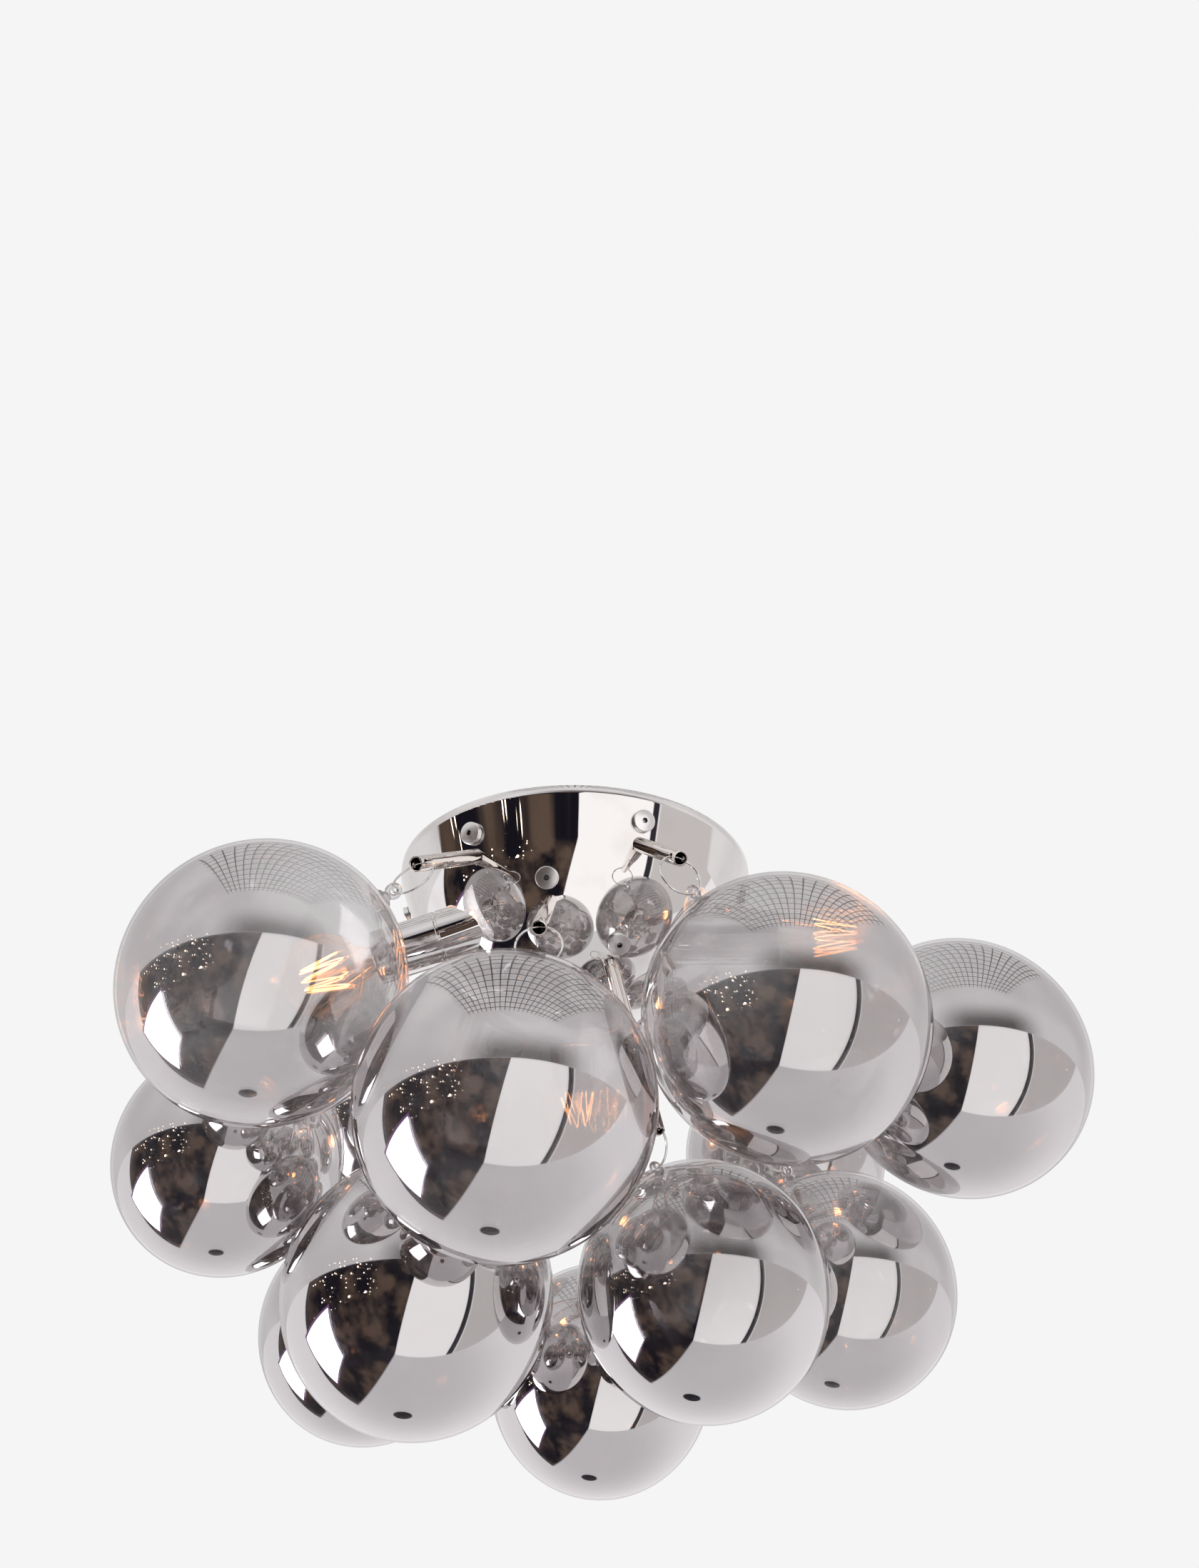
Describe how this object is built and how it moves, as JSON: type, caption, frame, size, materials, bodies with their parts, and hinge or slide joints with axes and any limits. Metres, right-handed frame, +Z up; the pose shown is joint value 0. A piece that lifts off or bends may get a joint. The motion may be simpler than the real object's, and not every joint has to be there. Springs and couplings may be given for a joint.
{
  "type": "ceiling light",
  "caption": "Chrome half ball canopy with slanted tubes that carry smoked glass globes on split rings, and golf ball lamps on short lampholders between them.",
  "frame": {"origin": "centre of the top face of the ceiling bracket, in the ceiling plane", "axes": "+Z up into the ceiling, -Y the front of the light, +X its right seen from the front"},
  "size_m": [0.5261, 0.4422, 0.3062],
  "materials": {
    "chrome": "polished, slightly warm",
    "steel": "zinc plated",
    "plastic": "ivory",
    "smoked_glass": "smoked with a half mirror coat",
    "lamp_glass": "clear, warm filament"
  },
  "bodies": {
    "frame": {"canopy_bowl": "chrome", "ceiling_bracket": "steel", "terminal_block": "plastic", "set_screw_left": "steel", "set_screw_right": "steel", "tube_upper_front_left": "chrome", "tube_upper_front_right": "chrome", "tube_upper_right": "chrome", "tube_upper_back_right": "chrome", "tube_upper_back_left": "chrome", "tube_upper_left": "chrome", "tube_middle_front": "chrome", "tube_middle_right": "chrome", "tube_middle_left": "chrome", "tube_lower_front": "chrome", "tube_lower_back": "chrome", "tube_lower_left": "chrome", "lamp_sleeve_left": "chrome", "sleeve_nut_left": "steel", "lamp_insert_left": "plastic", "lamp_left": "lamp_glass", "lamp_sleeve_right": "chrome", "sleeve_nut_right": "steel", "lamp_insert_right": "plastic", "lamp_right": "lamp_glass", "lamp_sleeve_back": "chrome", "sleeve_nut_back": "steel", "lamp_insert_back": "plastic", "lamp_back": "lamp_glass"},
    "ring_body_upper_front_left": {"ring_upper_front_left": "chrome"},
    "globe_body_upper_front_left": {"globe_upper_front_left": "smoked_glass"},
    "ring_body_upper_front_right": {"ring_upper_front_right": "chrome"},
    "globe_body_upper_front_right": {"globe_upper_front_right": "smoked_glass"},
    "ring_body_upper_right": {"ring_upper_right": "chrome"},
    "globe_body_upper_right": {"globe_upper_right": "smoked_glass"},
    "ring_body_upper_back_right": {"ring_upper_back_right": "chrome"},
    "globe_body_upper_back_right": {"globe_upper_back_right": "smoked_glass"},
    "ring_body_upper_back_left": {"ring_upper_back_left": "chrome"},
    "globe_body_upper_back_left": {"globe_upper_back_left": "smoked_glass"},
    "ring_body_upper_left": {"ring_upper_left": "chrome"},
    "globe_body_upper_left": {"globe_upper_left": "smoked_glass"},
    "ring_body_middle_front": {"ring_middle_front": "chrome"},
    "globe_body_middle_front": {"globe_middle_front": "smoked_glass"},
    "ring_body_middle_right": {"ring_middle_right": "chrome"},
    "globe_body_middle_right": {"globe_middle_right": "smoked_glass"},
    "ring_body_middle_left": {"ring_middle_left": "chrome"},
    "globe_body_middle_left": {"globe_middle_left": "smoked_glass"},
    "ring_body_lower_front": {"ring_lower_front": "chrome"},
    "globe_body_lower_front": {"globe_lower_front": "smoked_glass"},
    "ring_body_lower_back": {"ring_lower_back": "chrome"},
    "globe_body_lower_back": {"globe_lower_back": "smoked_glass"},
    "ring_body_lower_left": {"ring_lower_left": "chrome"},
    "globe_body_lower_left": {"globe_lower_left": "smoked_glass"}
  },
  "joints": [
    {"name": "ring_swing_upper_front_left", "type": "hinge", "parent": "frame", "child": "ring_body_upper_front_left", "pos_m": [-0.07522, -0.11933, -0.06059], "axis": [-0.8746, 0.4848, 0], "range_deg": [0, 29]},
    {"name": "globe_swing_upper_front_left", "type": "hinge", "parent": "ring_body_upper_front_left", "child": "globe_body_upper_front_left", "pos_m": [-0.08663, -0.12164, -0.07756], "axis": [-0.3972, 0.5816, 0.71], "range_deg": [0, 24]},
    {"name": "ring_swing_upper_front_right", "type": "hinge", "parent": "frame", "child": "ring_body_upper_front_right", "pos_m": [0.0527, -0.1178, -0.0562], "axis": [-0.8829, -0.4695, 0], "range_deg": [0, 40]},
    {"name": "globe_swing_upper_front_right", "type": "hinge", "parent": "ring_body_upper_front_right", "child": "globe_body_upper_front_right", "pos_m": [0.06003, -0.11801, -0.07673], "axis": [-0.6864, -0.4749, -0.5507], "range_deg": [0, 30]},
    {"name": "ring_swing_upper_right", "type": "hinge", "parent": "frame", "child": "ring_body_upper_right", "pos_m": [0.1482, -0.00867, -0.03781], "axis": [0.0698, -0.9976, 0], "range_deg": [0, 17]},
    {"name": "globe_swing_upper_right", "type": "hinge", "parent": "ring_body_upper_right", "child": "globe_body_upper_right", "pos_m": [0.16237, -0.00628, -0.05546], "axis": [0.1457, -0.9848, -0.0947], "range_deg": [0, 16]},
    {"name": "ring_swing_upper_back_right", "type": "hinge", "parent": "frame", "child": "ring_body_upper_back_right", "pos_m": [0.09236, 0.11502, -0.04579], "axis": [0.766, -0.6428, 0], "range_deg": [0, 13]},
    {"name": "globe_swing_upper_back_right", "type": "hinge", "parent": "ring_body_upper_back_right", "child": "globe_body_upper_back_right", "pos_m": [0.10292, 0.13039, -0.05879], "axis": [0.839, -0.5367, -0.0897], "range_deg": [0, 12]},
    {"name": "ring_swing_upper_back_left", "type": "hinge", "parent": "frame", "child": "ring_body_upper_back_left", "pos_m": [-0.04307, 0.13027, -0.03129], "axis": [0.9816, 0.1908, 0], "range_deg": [0, 6]},
    {"name": "globe_swing_upper_back_left", "type": "hinge", "parent": "ring_body_upper_back_left", "child": "globe_body_upper_back_left", "pos_m": [-0.05362, 0.14306, -0.0444], "axis": [0.6076, 0.644, -0.4648], "range_deg": [0, 6]},
    {"name": "ring_swing_upper_left", "type": "hinge", "parent": "frame", "child": "ring_body_upper_left", "pos_m": [-0.1462, 0.02457, -0.0711], "axis": [0.2079, 0.9781, 0], "range_deg": [0, 40]},
    {"name": "globe_swing_upper_left", "type": "hinge", "parent": "ring_body_upper_left", "child": "globe_body_upper_left", "pos_m": [-0.15674, 0.02802, -0.09099], "axis": [0.2563, 0.9623, 0.0914], "range_deg": [0, 30]},
    {"name": "ring_swing_middle_front", "type": "hinge", "parent": "frame", "child": "ring_body_middle_front", "pos_m": [-0.01507, -0.11977, -0.09615], "axis": [-0.9976, 0.0698, 0], "range_deg": [0, 40]},
    {"name": "globe_swing_middle_front", "type": "hinge", "parent": "ring_body_middle_front", "child": "globe_body_middle_front", "pos_m": [-0.01688, -0.12281, -0.11862], "axis": [-0.9865, 0.0884, 0.1378], "range_deg": [0, 30]},
    {"name": "ring_swing_middle_right", "type": "hinge", "parent": "frame", "child": "ring_body_middle_right", "pos_m": [0.10821, 0.05772, -0.13032], "axis": [0.6157, -0.788, 0], "range_deg": [0, 5]},
    {"name": "globe_swing_middle_right", "type": "hinge", "parent": "ring_body_middle_right", "child": "globe_body_middle_right", "pos_m": [0.11759, 0.0648, -0.14986], "axis": [0.6085, -0.7934, 0.015], "range_deg": [0, 5]},
    {"name": "ring_swing_middle_left", "type": "hinge", "parent": "frame", "child": "ring_body_middle_left", "pos_m": [-0.09533, 0.10308, -0.13629], "axis": [0.848, 0.5299, 0], "range_deg": [0, 7]},
    {"name": "globe_swing_middle_left", "type": "hinge", "parent": "ring_body_middle_left", "child": "globe_body_middle_left", "pos_m": [-0.1012, 0.11285, -0.15604], "axis": [0.8525, 0.5224, 0.0151], "range_deg": [0, 6]},
    {"name": "ring_swing_lower_front", "type": "hinge", "parent": "frame", "child": "ring_body_lower_front", "pos_m": [0.04067, -0.07068, -0.17807], "axis": [-0.7193, -0.6947, 0], "range_deg": [-7, 0]},
    {"name": "globe_swing_lower_front", "type": "hinge", "parent": "ring_body_lower_front", "child": "globe_body_lower_front", "pos_m": [0.04146, -0.0595, -0.19573], "axis": [-0.6891, -0.2682, -0.6732], "range_deg": [-6, 0]},
    {"name": "ring_swing_lower_back", "type": "hinge", "parent": "frame", "child": "ring_body_lower_back", "pos_m": [0.0285, 0.10358, -0.16128], "axis": [0.9976, 0.0698, 0], "range_deg": [0, 40]},
    {"name": "globe_swing_lower_back", "type": "hinge", "parent": "ring_body_lower_back", "child": "globe_body_lower_back", "pos_m": [0.02625, 0.11304, -0.18185], "axis": [0.9838, 0.1278, -0.1261], "range_deg": [0, 30]},
    {"name": "ring_swing_lower_left", "type": "hinge", "parent": "frame", "child": "ring_body_lower_left", "pos_m": [-0.06667, 0.00633, -0.13702], "axis": [-0.1219, 0.9925, 0], "range_deg": [0, 3]},
    {"name": "globe_swing_lower_left", "type": "hinge", "parent": "ring_body_lower_left", "child": "globe_body_lower_left", "pos_m": [-0.06915, 0.00703, -0.15965], "axis": [-0.1124, 0.9899, 0.0867], "range_deg": [0, 3]}
  ]
}
